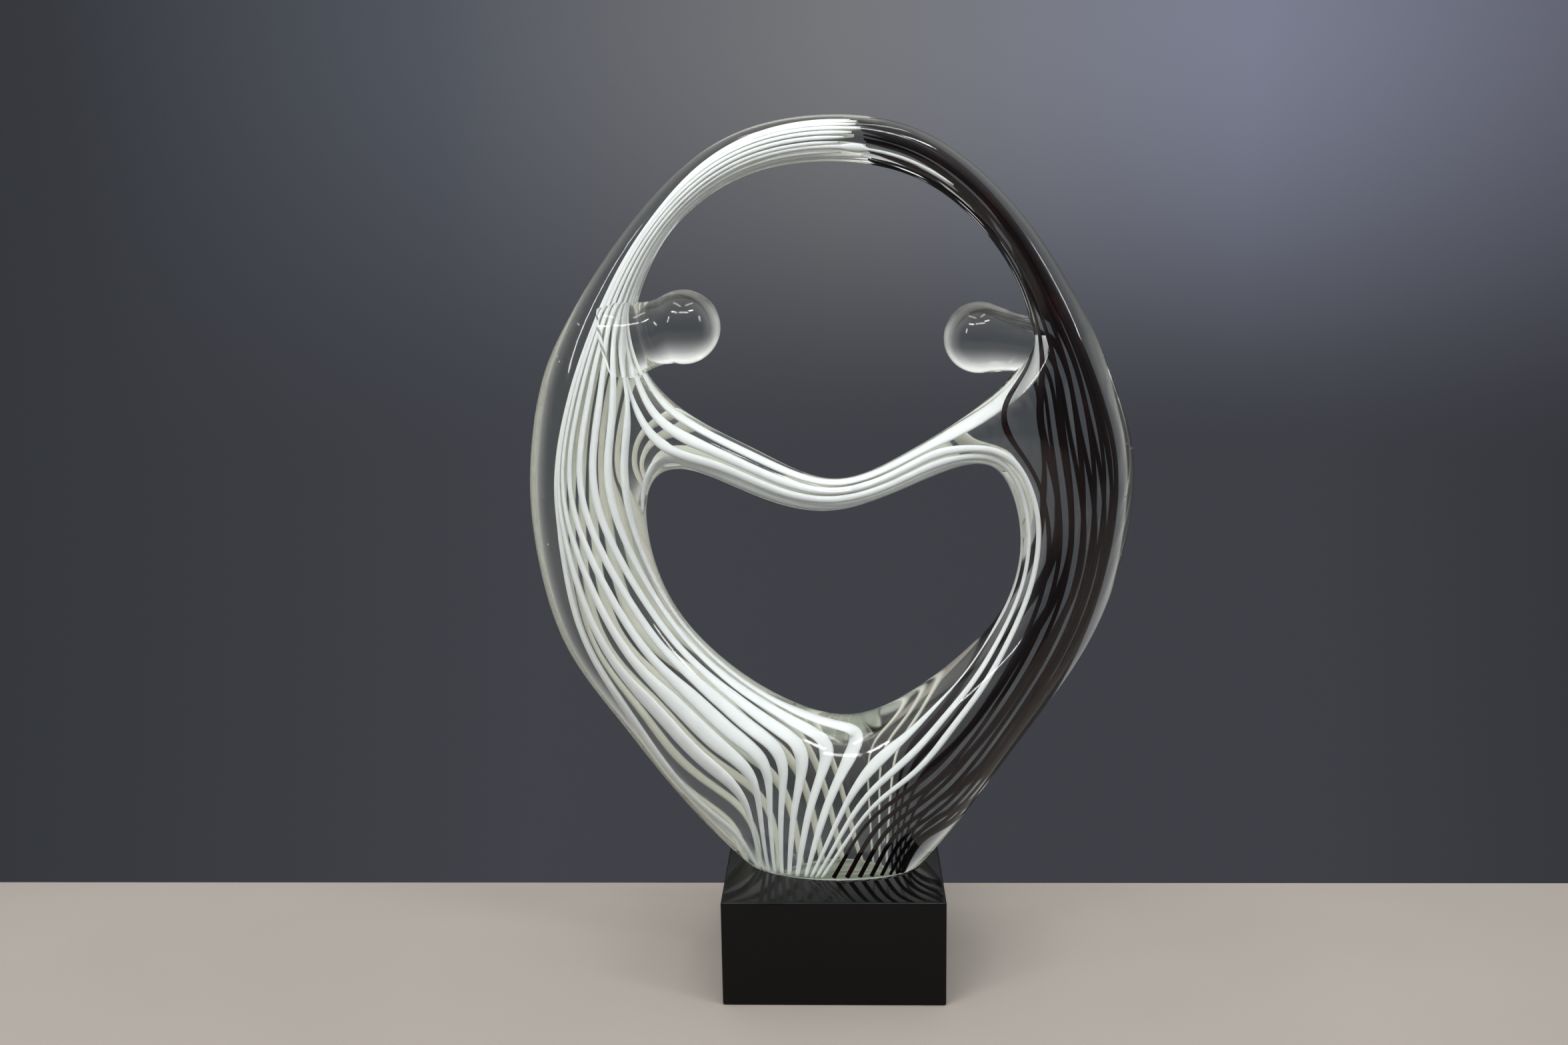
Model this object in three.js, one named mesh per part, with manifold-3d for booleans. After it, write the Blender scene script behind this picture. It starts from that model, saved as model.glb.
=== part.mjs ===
// A hot-worked glass sculpture on a polished black block: an oval ring with a wavy bridge across it, so that
// it has a round opening above a heart-shaped one, and two clear heads that face each other in the upper one.
// White canes run through the left limb and the bridge, and dark amethyst canes through the right limb.
// Millimetres, +Z up, the front faces -Y. The origin is at the middle of the block's underside.
import * as THREE from "three";
import Module from "manifold-3d";
import { mergeVertices } from "three/addons/utils/BufferGeometryUtils.js";

const wasm = await Module();
wasm.setup();

// Block
const blockWidth = 100;
const blockDepth = 100;
const blockHeight = 49;
const blockChamfer = 1;
const cornerChamfer = 0.6;

// Glue film between the block and the ground foot of the glass
const glueThickness = 0.4;
const glueInset = 1.5;
const groundHeight = blockHeight + glueThickness;

// Glass: its width and depth over all, and its height above the ground foot
const glassWidth = 272;
const glassHeight = 340.5;
const glassDepth = 62;

// Sections of the ring, from the foot up the right limb, over the arch and down the left limb.
// Each has its point on the outer edge, its point on the inner edge, as [x, height above the ground foot],
// its depth, front to back, and the thickness of the clear glass between the outer edge and the canes.
const ringSections = [
  { outer: [0, -23.5], inner: [6, 69.5], depth: 62, clear: 24 },
  { outer: [50.5, 9.5], inner: [35, 79.5], depth: 57, clear: 13 },
  { outer: [84.5, 56], inner: [62, 100.5], depth: 50, clear: 9 },
  { outer: [114, 99.5], inner: [80, 123.5], depth: 46, clear: 10 },
  { outer: [131, 142.5], inner: [86, 152.5], depth: 43, clear: 11 },
  { outer: [136, 184.5], inner: [82, 182.5], depth: 41, clear: 11.5 },
  { outer: [129.5, 214.5], inner: [84, 210.5], depth: 39, clear: 12 },
  { outer: [118, 243.5], inner: [90, 237.5], depth: 34, clear: 10.5 },
  { outer: [102, 272.5], inner: [84, 265.5], depth: 26.5, clear: 8 },
  { outer: [80, 302.5], inner: [67, 291.5], depth: 21.5, clear: 6 },
  { outer: [46, 330.5], inner: [40, 312.5], depth: 20, clear: 4.8 },
  { outer: [6, 340.5], inner: [5, 320.5], depth: 19.5, clear: 4.2 },
  { outer: [-37, 334.5], inner: [-31, 316.5], depth: 20.5, clear: 4.3 },
  { outer: [-71, 312.5], inner: [-59, 301.5], depth: 22, clear: 4.9 },
  { outer: [-98, 281.5], inner: [-78, 277.5], depth: 24, clear: 8 },
  { outer: [-118, 250.5], inner: [-89, 243.5], depth: 29, clear: 13 },
  { outer: [-130, 222.5], inner: [-86, 216.5], depth: 37, clear: 16 },
  { outer: [-136, 184.5], inner: [-84, 184.5], depth: 41, clear: 15.2 },
  { outer: [-134, 146.5], inner: [-83, 154.5], depth: 43, clear: 15 },
  { outer: [-122.5, 104.5], inner: [-72, 122.5], depth: 46, clear: 13 },
  { outer: [-97, 66], inner: [-50, 96.5], depth: 51, clear: 11 },
  { outer: [-60, 18.5], inner: [-24, 78.5], depth: 58, clear: 12 },
];

// Sections of the bridge, from left to right, with the points on its upper and lower edges and its depth
const bridgeSections = [
  { upper: [-67, 210.5], lower: [-66, 189.5], depth: 26 },
  { upper: [-33, 195.5], lower: [-41, 176.5], depth: 22 },
  { upper: [1, 175], lower: [-2, 161], depth: 19 },
  { upper: [33, 191.5], lower: [40, 179.5], depth: 20 },
  { upper: [67, 211.5], lower: [66, 190.5], depth: 26 },
];

// Ring sections above, at and below the places where the bridge grows out of the limbs
const leftJoin = [15, 16, 17];
const rightJoin = [7, 6, 5];

const ringSides = 6;
const bridgeSides = 8;
const refinements = 2;

// The sections are stretched to the sizes of the glass, and stand on the ground foot
const outerEdge = ringSections.map((section) => section.outer[0]);
const stretch = {
  x: glassWidth / (Math.max(...outerEdge) - Math.min(...outerEdge)),
  y: glassDepth / Math.max(...ringSections.map((section) => section.depth)),
  z: glassHeight / Math.max(...ringSections.map((section) => section.outer[1])),
};

// A point of the glass, from its place across, its place to the back and its height above the ground foot
function placed([across, height], back = 0) {
  return new THREE.Vector3(stretch.x * across, stretch.y * back, groundHeight + stretch.z * height);
}

// The control points of a closed uniform cubic B-spline that passes through the given values
function controlsThrough(values) {
  const count = values.length;
  let controls = [...values];
  for (let pass = 0; pass < 24; pass++)
    controls = controls.map((own, i) => {
      const before = controls[(i + count - 1) % count];
      const after = controls[(i + 1) % count];
      return own + values[i] - (before + 4 * own + after) / 6;
    });
  return controls;
}

// A B-spline's point lies inside the polygon of its controls by this factor on a regular polygon
const limitFactor = (sides) => 6 / (4 + 2 * Math.cos((2 * Math.PI) / sides));

// Ring: middle, half-width vector towards the outer edge, and half-depth, as control values
const outerPoints = ringSections.map((section) => placed(section.outer));
const innerPoints = ringSections.map((section) => placed(section.inner));
const ring = {
  x: controlsThrough(outerPoints.map((outer, i) => (outer.x + innerPoints[i].x) / 2)),
  z: controlsThrough(outerPoints.map((outer, i) => (outer.z + innerPoints[i].z) / 2)),
  alongX: controlsThrough(outerPoints.map((outer, i) => (outer.x - innerPoints[i].x) / 2)),
  alongZ: controlsThrough(outerPoints.map((outer, i) => (outer.z - innerPoints[i].z) / 2)),
  depth: controlsThrough(ringSections.map((section) => (stretch.y * section.depth) / 2)),
  clear: controlsThrough(ringSections.map((section) => stretch.x * section.clear)),
};

function ringControl(station, side) {
  const angle = (2 * Math.PI * side) / ringSides;
  const factor = limitFactor(ringSides);
  const across = factor * Math.cos(angle);
  return new THREE.Vector3(
    ring.x[station] + across * ring.alongX[station],
    factor * Math.sin(angle) * ring.depth[station],
    ring.z[station] + across * ring.alongZ[station],
  );
}

// Middle, half-height vector and half-depth of each section of the bridge
const bridgeRows = bridgeSections.map(({ upper, lower, depth }) => {
  const top = placed(upper);
  const bottom = placed(lower);
  return {
    middle: top.clone().add(bottom).divideScalar(2),
    up: top.clone().sub(bottom).divideScalar(2),
    halfDepth: (stretch.y * depth) / 2,
  };
});

function bridgeControl(section, side) {
  const { middle, up, halfDepth } = bridgeRows[section];
  const angle = (2 * Math.PI * side) / bridgeSides;
  const factor = limitFactor(bridgeSides);
  const point = middle.clone().addScaledVector(up, factor * Math.cos(angle));
  point.y = factor * Math.sin(angle) * halfDepth;
  return point;
}

// The coarse cage of quads of the whole glass form
function formCage() {
  const points = [];
  const quads = [];
  const stations = ringSections.length;
  const ringIndex = (station, side) =>
    ((station + stations) % stations) * ringSides + ((side + ringSides) % ringSides);
  for (let station = 0; station < stations; station++)
    for (let side = 0; side < ringSides; side++) points.push(ringControl(station, side));
  const bridgeStart = points.length;
  const bridgeIndex = (section, side) =>
    bridgeStart + section * bridgeSides + ((side + bridgeSides) % bridgeSides);
  for (let section = 0; section < bridgeSections.length; section++)
    for (let side = 0; side < bridgeSides; side++) points.push(bridgeControl(section, side));

  const inner = ringSides / 2;
  const open = new Set();
  for (const join of [leftJoin, rightJoin])
    for (const side of [inner - 1, inner])
      for (const station of [Math.min(...join), Math.min(...join) + 1])
        open.add(station + ":" + side);
  for (let station = 0; station < stations; station++)
    for (let side = 0; side < ringSides; side++) {
      if (open.has(station + ":" + side)) continue;
      quads.push([
        ringIndex(station, side),
        ringIndex(station, side + 1),
        ringIndex(station + 1, side + 1),
        ringIndex(station + 1, side),
      ]);
    }
  // The mouth that the bridge grows from, in the order of the bridge's sides: top, back, bottom, front
  const mouth = ([above, at, below]) =>
    [
      [above, inner],
      [above, inner - 1],
      [at, inner - 1],
      [below, inner - 1],
      [below, inner],
      [below, inner + 1],
      [at, inner + 1],
      [above, inner + 1],
    ].map(([station, side]) => ringIndex(station, side));
  const loops = [
    mouth(leftJoin),
    ...bridgeSections.map((_, section) =>
      Array.from({ length: bridgeSides }, (_, side) => bridgeIndex(section, side)),
    ),
    mouth(rightJoin),
  ];
  for (let i = 0; i + 1 < loops.length; i++)
    for (let side = 0; side < bridgeSides; side++) {
      const next = (side + 1) % bridgeSides;
      quads.push([loops[i][side], loops[i + 1][side], loops[i + 1][next], loops[i][next]]);
    }
  return { points, quads };
}

// One step of Catmull-Clark subdivision of a closed mesh of quads
function subdivide({ points, quads }) {
  const faceCentres = quads.map((quad) =>
    quad.reduce((sum, i) => sum.add(points[i]), new THREE.Vector3()).divideScalar(4),
  );
  const edges = new Map();
  quads.forEach((quad, face) =>
    quad.forEach((from, corner) => {
      const to = quad[(corner + 1) % 4];
      const key = Math.min(from, to) + ":" + Math.max(from, to);
      if (!edges.has(key)) edges.set(key, { ends: [from, to], faces: [] });
      edges.get(key).faces.push(face);
    }),
  );
  const sums = points.map(() => ({
    faces: new THREE.Vector3(),
    edges: new THREE.Vector3(),
    valence: 0,
  }));
  quads.forEach((quad, face) => quad.forEach((i) => sums[i].faces.add(faceCentres[face])));
  const made = points.map(() => null);
  const edgeIndex = new Map();
  for (const [key, { ends, faces }] of edges) {
    const middle = points[ends[0]].clone().add(points[ends[1]]).divideScalar(2);
    for (const end of ends) {
      sums[end].edges.add(middle);
      sums[end].valence++;
    }
    const point = points[ends[0]].clone().add(points[ends[1]]);
    for (const face of faces) point.add(faceCentres[face]);
    edgeIndex.set(key, made.push(point.divideScalar(4)) - 1);
  }
  points.forEach((point, i) => {
    const n = sums[i].valence;
    made[i] = sums[i].faces
      .divideScalar(n)
      .addScaledVector(sums[i].edges, 2 / n)
      .addScaledVector(point, n - 3)
      .divideScalar(n);
  });
  const centreIndex = faceCentres.map((centre) => made.push(centre) - 1);
  const edgeOf = (from, to) => edgeIndex.get(Math.min(from, to) + ":" + Math.max(from, to));
  return {
    points: made,
    quads: quads.flatMap((quad, face) =>
      quad.map((own, corner) => [
        own,
        edgeOf(own, quad[(corner + 1) % 4]),
        centreIndex[face],
        edgeOf(own, quad[(corner + 3) % 4]),
      ]),
    ),
  };
}

function geometryOf({ points, quads }) {
  const geometry = new THREE.BufferGeometry();
  geometry.setAttribute(
    "position",
    new THREE.Float32BufferAttribute(
      points.flatMap((p) => [p.x, p.y, p.z]),
      3,
    ),
  );
  geometry.setIndex(quads.flatMap(([a, b, c, d]) => [a, b, c, a, c, d]));
  return geometry;
}

// A closed geometry as a solid that can be joined and cut, and back again
function solidOf(geometry) {
  const plain = geometry.clone();
  for (const name of Object.keys(plain.attributes))
    if (name !== "position") plain.deleteAttribute(name);
  const merged = mergeVertices(plain, 1e-4);
  return new wasm.Manifold(
    new wasm.Mesh({
      numProp: 3,
      vertProperties: new Float32Array(merged.attributes.position.array),
      triVerts: new Uint32Array(merged.index.array),
    }),
  );
}

function geometryFrom(solid) {
  const mesh = solid.getMesh();
  const geometry = new THREE.BufferGeometry();
  geometry.setAttribute("position", new THREE.BufferAttribute(mesh.vertProperties, 3));
  geometry.setIndex(new THREE.BufferAttribute(mesh.triVerts, 1));
  return geometry;
}

// A closed solid swept along rings of points, with flat ends
function sweep(rings) {
  const sides = rings[0].length;
  const points = rings.flat();
  const triangles = [];
  for (let ring = 0; ring + 1 < rings.length; ring++)
    for (let side = 0; side < sides; side++) {
      const a = ring * sides + side;
      const b = ring * sides + ((side + 1) % sides);
      triangles.push(a, a + sides, b, b, a + sides, b + sides);
    }
  const last = (rings.length - 1) * sides;
  for (let side = 1; side + 1 < sides; side++) {
    triangles.push(0, side, side + 1);
    triangles.push(last, last + side + 1, last + side);
  }
  const geometry = new THREE.BufferGeometry();
  geometry.setAttribute(
    "position",
    new THREE.Float32BufferAttribute(
      points.flatMap((p) => [p.x, p.y, p.z]),
      3,
    ),
  );
  geometry.setIndex(triangles);
  return geometry;
}

// Canes: glass threads in a layer inside the form. Places round the ring are counted in its sections, and
// angles are in degrees.
const perFace = 8;
const innerCover = 2.7;
const layerDepth = { front: 0.75, back: 0.62 };
const rootDepth = 3;
const neck = { x: -3, halfWidth: 30, halfDepth: 20, flare: 0.4, height: 60 };
const riseHeight = 16;

// Where the white and the dark canes meet in the arch, counted in sections of the ring
const seam = 10.73;
const seamLean = 0.1;
const seamGap = 0.02;
const seamAt = (degrees) => seam + seamLean * Math.cos(THREE.MathUtils.degToRad(degrees));

// The weights of four neighbouring controls of a cubic B-spline
const splineWeights = (t) => [
  (1 - t) ** 3 / 6,
  (3 * t ** 3 - 6 * t ** 2 + 4) / 6,
  (-3 * t ** 3 + 3 * t ** 2 + 3 * t + 1) / 6,
  t ** 3 / 6,
];

// The value at a place on the ring, counted in sections
function blend(controls, place) {
  const count = controls.length;
  const base = Math.floor(place);
  return splineWeights(place - base).reduce(
    (sum, weight, i) => sum + weight * controls[(base - 1 + i + 2 * count) % count],
    0,
  );
}

// A smooth change from stop to stop, each given as [place, value]
function through(stops, place) {
  let value = stops[0][1];
  for (let i = 1; i < stops.length; i++) {
    const share = THREE.MathUtils.smoothstep(place, stops[i - 1][0], stops[i][0]);
    value += (stops[i][1] - stops[i - 1][1]) * share;
  }
  return value;
}

// A place on the canes' layer in one section of the ring, and the middle of the layer there.
// The angle is 0 at the ring's outer edge, 90 at the back and -90 at the front.
// Equal steps of the angle are nearly equal steps along the layer's oval.
function ringPlace(place, degrees, inward = 0) {
  const middle = new THREE.Vector3(blend(ring.x, place), 0, blend(ring.z, place));
  const outward = new THREE.Vector3(blend(ring.alongX, place), 0, blend(ring.alongZ, place));
  const halfWidth = outward.length();
  outward.normalize();
  const clear = blend(ring.clear, place);
  middle.addScaledVector(outward, (innerCover - clear) / 2);
  const across = halfWidth - (clear + innerCover) / 2;
  const deep = (degrees < 0 ? layerDepth.front : layerDepth.back) * blend(ring.depth, place);
  const even = THREE.MathUtils.degToRad(degrees);
  const long = (deep - across) / (deep + across);
  const angle = even - (long / 2) * Math.sin(2 * even) + (5 / 16) * long ** 2 * Math.sin(4 * even);
  const point = middle.clone().addScaledVector(outward, across * Math.cos(angle) - inward);
  point.y = deep * Math.sin(angle);
  return { point, middle };
}

// A place on the layer in the foot, where the canes stand in an oval
function neckPlace(degrees, height) {
  const angle = THREE.MathUtils.degToRad(degrees);
  const wider = 1 + (neck.flare * height) / neck.height;
  const z = groundHeight + height;
  return {
    point: new THREE.Vector3(
      neck.x + neck.halfWidth * wider * Math.cos(angle),
      neck.halfDepth * wider * Math.sin(angle),
      z,
    ),
    middle: new THREE.Vector3(neck.x, 0, z),
  };
}

// A place on the layer in the bridge, counted in its sections, with the angle 0 at the top and 90 at the back
const bridgeLayer = { up: 0.68, deep: 0.78 };
function bridgePlace(place, degrees) {
  const base = Math.floor(place);
  const middle = new THREE.Vector3();
  const up = new THREE.Vector3();
  let halfDepth = 0;
  splineWeights(place - base).forEach((weight, i) => {
    const row = bridgeRows[THREE.MathUtils.clamp(base - 1 + i, 0, bridgeRows.length - 1)];
    middle.addScaledVector(row.middle, weight);
    up.addScaledVector(row.up, weight);
    halfDepth += weight * row.halfDepth;
  });
  const angle = THREE.MathUtils.degToRad(degrees);
  const point = middle.clone().addScaledVector(up, bridgeLayer.up * Math.cos(angle));
  point.y = bridgeLayer.deep * halfDepth * Math.sin(angle);
  return { point, middle };
}

function between(first, second, share) {
  return {
    point: first.point.clone().lerp(second.point, share),
    middle: first.middle.clone().lerp(second.middle, share),
  };
}

// A cane's route up a limb, from the ground foot. Beside the bridge some canes swing inward by the bulge.
const bulgeSpan = { at: 6, half: 0.6 };
function limbRoute({ start, end, neckAngle, first, stops, side, bulge = 0 }) {
  const way = Math.sign(end - start);
  const length = Math.abs(end - start);
  const steps = Math.round((length - first) * 3);
  const layer = Array.from({ length: steps + 1 }, (_, i) => {
    const along = THREE.MathUtils.lerp(first, length, i / steps);
    const inward = bulge * Math.exp(-(((along - bulgeSpan.at) / bulgeSpan.half) ** 2));
    return ringPlace(start + way * along, side * through(stops, along), inward);
  });
  const root = neckPlace(side * neckAngle, -rootDepth);
  const rise = between(neckPlace(side * neckAngle, riseHeight), layer[0], 0.4);
  return [root, rise, ...layer];
}

// The angles of the canes on their way up, from the outermost cane, share 0, to the innermost, share 1
const whiteStops = {
  front: (share, first) => [
    [first, 12 + 148 * share ** 0.5],
    [first + 0.8, 14 + 158 * share ** 0.6],
    [2.8, 12 + 161 * share ** 0.75],
    [5.2, 9 + 122 * share ** 1.5],
    [7.4, 8 + 129 * share],
  ],
  back: (share, first) => [
    [first, 12 + 114 * share ** 1.15],
    [first + 0.8, 12 + 120 * share ** 1.3],
    [2.8, 10 + 112 * share ** 1.6],
    [5.4, 9 + 112 * share ** 0.7],
    [7.4, 9 + 146 * share],
  ],
};
const darkStops = {
  front: (share) => [
    [0.8, 9 + 76 * share],
    [3.6, 9 + 104 * share],
    [6, 9 + 128 * share ** 1.3],
    [8, 10 + 156 * share],
  ],
  back: (share) => [
    [0.8, 9 + 76 * share],
    [3.6, 9 + 104 * share ** 1.3],
    [6, 9 + 128 * share ** 0.85],
    [8, 10 + 156 * share],
  ],
};
const whiteNeck = { front: (share) => 161 - 53 * share, back: (share) => 172 - 112 * share };
const darkNeck = { front: (share) => 4 + 80 * share, back: (share) => 2 + 32 * share };
const whiteSpread = { front: 1.05, back: 0.45 };
const whiteCurl = { front: 2.2, back: 1.5 };
const whiteBulge = 4;
const darkBulge = { front: 17, back: 0 };

function whiteRoute(face, side, share) {
  const first = 0.95 - whiteSpread[face] * share ** whiteCurl[face];
  const stops = whiteStops[face](share, first);
  return limbRoute({
    start: ringSections.length,
    end: seamAt(stops.at(-1)[1]) + seamGap,
    neckAngle: whiteNeck[face](share),
    first,
    stops,
    side,
    bulge: whiteBulge * share ** 4,
  });
}

function darkRoute(face, side, share) {
  const stops = darkStops[face](share);
  return limbRoute({
    start: 0,
    end: seamAt(stops.at(-1)[1]) - seamGap,
    neckAngle: darkNeck[face](share),
    first: 1 - 0.15 * share,
    stops,
    side,
    bulge: darkBulge[face] * share ** 8,
  });
}

// Canes that cross the bridge: three come up the right limb, at a low and a middle angle,
// and a fourth, on the crest of the bridge, starts beside the innermost dark cane.
const bridgeNeck = { front: [94, 98.5, 103.2], back: [39, 45, 51] };
const bridgeCanes = [
  { low: 104, middle: 134, across: 70 },
  { low: 120, middle: 154, across: 112 },
  { low: 138, middle: 171, across: 152 },
];
const crest = { start: 7, across: 22 };

// At the front, all but the lowest end up the arch. The others bend down the left limb.
const archAngles = [186, 170, 154];
const downAngles = [139, 150, 161, 172];
function leftEnd(face, side, order, across) {
  const bridgeEnd = bridgePlace(0, side * across);
  if (face === "front" && order < archAngles.length) {
    const high = side * archAngles[order];
    const corner = between(ringPlace(order === 2 ? 16.3 : 15.9, high), bridgeEnd, 0.4);
    const end = seamAt(high) + seamGap;
    const arch = Array.from({ length: 9 }, (_, i) => ringPlace(THREE.MathUtils.lerp(15, end, i / 8), high));
    return [corner, ...arch];
  }
  const low = side * downAngles[order];
  const corner = between(ringPlace(face === "front" ? 16.5 : 16.7, low), bridgeEnd, 0.5);
  const places = face === "front" ? [17, 17.3, 17.6] : [17.2, 17.8, 18.4, 19 - 0.2 * order];
  return [corner, ...places.map((place) => ringPlace(place, low))];
}

function bridgeRoute(face, side, order) {
  const span = [3.5, 3, 2.5, 2, 1.5, 1, 0.5];
  if (order === 0) {
    const [, , [, before], [, after]] = darkStops[face](1);
    const beside = THREE.MathUtils.lerp(before, after, 0.45);
    return [
      ringPlace(crest.start, side * beside, darkBulge[face] * 0.11),
      between(ringPlace(6.35, side * 176), bridgePlace(4, side * crest.across), 0.4),
      ...span.map((place) => bridgePlace(place, side * crest.across)),
      ...leftEnd(face, side, order, crest.across),
    ];
  }
  const { low, middle, across } = bridgeCanes[order - 1];
  const first = 0.95 - 0.2 * order;
  const stops = [
    [first, low - 8],
    [1.6, low + 6],
    [3.2, middle],
  ];
  const neckAngle = bridgeNeck[face][order - 1];
  return [
    ...limbRoute({ start: 0, end: 4.5, neckAngle, first, stops, side }),
    between(ringPlace(5.25, side * middle), bridgePlace(4, side * across), 0.38),
    ...span.map((place) => bridgePlace(place, side * across)),
    ...leftEnd(face, side, order, across),
  ];
}

// A route as evenly spaced places, with the kinks taken out
const trackSpacing = 2.5;
const smoothings = 12;
function evenTrack(route) {
  const points = new THREE.CatmullRomCurve3(
    route.map((place) => place.point),
    false,
    "catmullrom",
  );
  const middles = new THREE.CatmullRomCurve3(
    route.map((place) => place.middle),
    false,
    "catmullrom",
  );
  points.arcLengthDivisions = 16 * route.length;
  const count = Math.round(points.getLength() / trackSpacing);
  let track = Array.from({ length: count + 1 }, (_, i) => {
    const t = points.getUtoTmapping(i / count);
    return { point: points.getPoint(t), middle: middles.getPoint(t) };
  });
  for (let pass = 0; pass < smoothings; pass++)
    track = track.map((place, i) => {
      if (i === 0 || i === count) return place;
      return between(place, between(track[i - 1], track[i + 1], 0.5), 0.5);
    });
  return track;
}

// The directions of a track at one of its places: along it, and outward from the middle of the layer
function directions(track, number) {
  const { point, middle } = track[number];
  const after = track[Math.min(number + 1, track.length - 1)].point;
  const before = track[Math.max(number - 1, 0)].point;
  const tangent = after.clone().sub(before).normalize();
  const out = point.clone().sub(middle);
  out.addScaledVector(tangent, -out.dot(tangent)).normalize();
  return { tangent, out };
}

// The numbers of the places where a cane has its rings, closer together where it bends or twists
const bendWeight = 30;
const twistWeight = 18;
function ringNumbers(track, steps) {
  const load = [0];
  for (let i = 1; i < track.length; i++) {
    const before = directions(track, i - 1);
    const after = directions(track, i);
    const bend = bendWeight * before.tangent.angleTo(after.tangent);
    const twist = twistWeight * before.out.angleTo(after.out);
    load.push(load[i - 1] + track[i].point.distanceTo(track[i - 1].point) + bend + twist);
  }
  const total = load.at(-1);
  const numbers = Array.from({ length: steps + 1 }, (_, i) =>
    i === steps ? track.length - 1 : load.findIndex((value) => value >= (total * i) / steps),
  );
  return [...new Set(numbers)];
}

const canes = [];
function addCane(name, colour, steps, fill, route, beside) {
  const track = evenTrack(route);
  canes.push({ name, colour, fill, track, rings: ringNumbers(track, steps), beside });
}

const caneSteps = { limb: 15, bridge: 31, crest: 18 };
const caneFill = { front: 0.42, back: 0.4, bridge: 0.55 };
for (const [face, side] of Object.entries({ front: -1, back: 1 })) {
  for (let i = 0; i < perFace; i++) {
    const share = i / (perFace - 1);
    const number = i + 1;
    const fill = caneFill[face];
    addCane(`white_${face}_cane_${number}`, "white", caneSteps.limb, fill, whiteRoute(face, side, share));
    addCane(`dark_${face}_cane_${number}`, "dark", caneSteps.limb, fill, darkRoute(face, side, share));
  }
  for (const order of [1, 2, 3])
    addCane(
      `bridge_${face}_cane_${order}`,
      "white",
      caneSteps.bridge,
      caneFill.bridge,
      bridgeRoute(face, side, order),
    );
  addCane(
    `bridge_${face}_cane_4`,
    "white",
    caneSteps.crest,
    caneFill.bridge,
    bridgeRoute(face, side, 0),
    `dark_${face}_cane_${perFace}`,
  );
}

// Each cane's width follows the distance to its nearest neighbour, and gets less towards its upper end
const caneClearance = 0.3;
const caneWall = 0.5;
const narrowest = 0.8;
const widest = 4.2;
const flatness = 0.6;
const thickest = 2.4;
const tipLength = 9;
const tipShare = 0.45;

function room(cane, point) {
  const line = new THREE.Line3();
  const nearest = new THREE.Vector3();
  let least = Infinity;
  for (const other of canes) {
    if (other === cane) continue;
    for (let i = 1; i < other.track.length; i++) {
      line.set(other.track[i - 1].point, other.track[i].point);
      line.closestPointToPoint(point, true, nearest);
      least = Math.min(least, nearest.distanceTo(point));
    }
  }
  return least;
}

for (const cane of canes) {
  const end = cane.track.at(-1).point;
  const rooms = cane.track.map(({ point }) => room(cane, point));
  cane.widths = cane.rings.map((number, i) => {
    const { point } = cane.track[number];
    const from = cane.rings[Math.max(i - 1, 0)];
    const to = cane.rings[Math.min(i + 1, cane.rings.length - 1)];
    const space = Math.min(...rooms.slice(from, to + 1));
    const free = Math.min(cane.fill * space + 0.4, space - 2 * caneClearance - caneWall);
    const tip = THREE.MathUtils.lerp(tipShare, 1, Math.min(point.distanceTo(end) / tipLength, 1));
    return Math.max(tip * Math.min(free, widest), narrowest);
  });
}

// A cane as a solid with four sides that follows its rings, grown all round by a clearance for its channel
function ribbon(cane, grow = 0) {
  const last = cane.track.length - 1;
  const rings = cane.rings.map((number, i) => {
    const { point } = cane.track[number];
    const { tangent, out } = directions(cane.track, number);
    const side = new THREE.Vector3().crossVectors(tangent, out);
    const halfWidth = cane.widths[i] / 2 + grow;
    const halfThickness = Math.min(flatness * cane.widths[i] + 0.3, thickest) / 2 + grow;
    const push = number === last ? grow : number === 0 ? -grow : 0;
    return [
      [-1, -1],
      [1, -1],
      [1, 1],
      [-1, 1],
    ].map(([a, b]) =>
      point
        .clone()
        .addScaledVector(tangent, push)
        .addScaledVector(side, a * halfWidth)
        .addScaledVector(out, b * halfThickness),
    );
  });
  return sweep(rings);
}

// Heads: clear balls, each drawn out into a root on the inner edge of its limb.
// The root leaves the ball at an angle from its axis and goes through a waist to a flare inside the limb.
const heads = {
  left_head: { ball: [-63.8, 250.5], back: -7, root: [-97, 243.5], rootBack: -4, leave: 70 },
  right_head: { ball: [67, 243.5], back: 5, root: [104, 237.5], rootBack: 3, leave: 80 },
};
const headRadius = { left_head: 16.4, right_head: 15.9 };
const waistRadius = { left_head: 13.6, right_head: 12.6 };
const flareRadius = { left_head: 18, right_head: 11 };
const waistPlace = 11;
const flareLength = 8;
const leaveLength = 5;
const fusedGap = 0.3;
const headFacets = 28;

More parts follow.
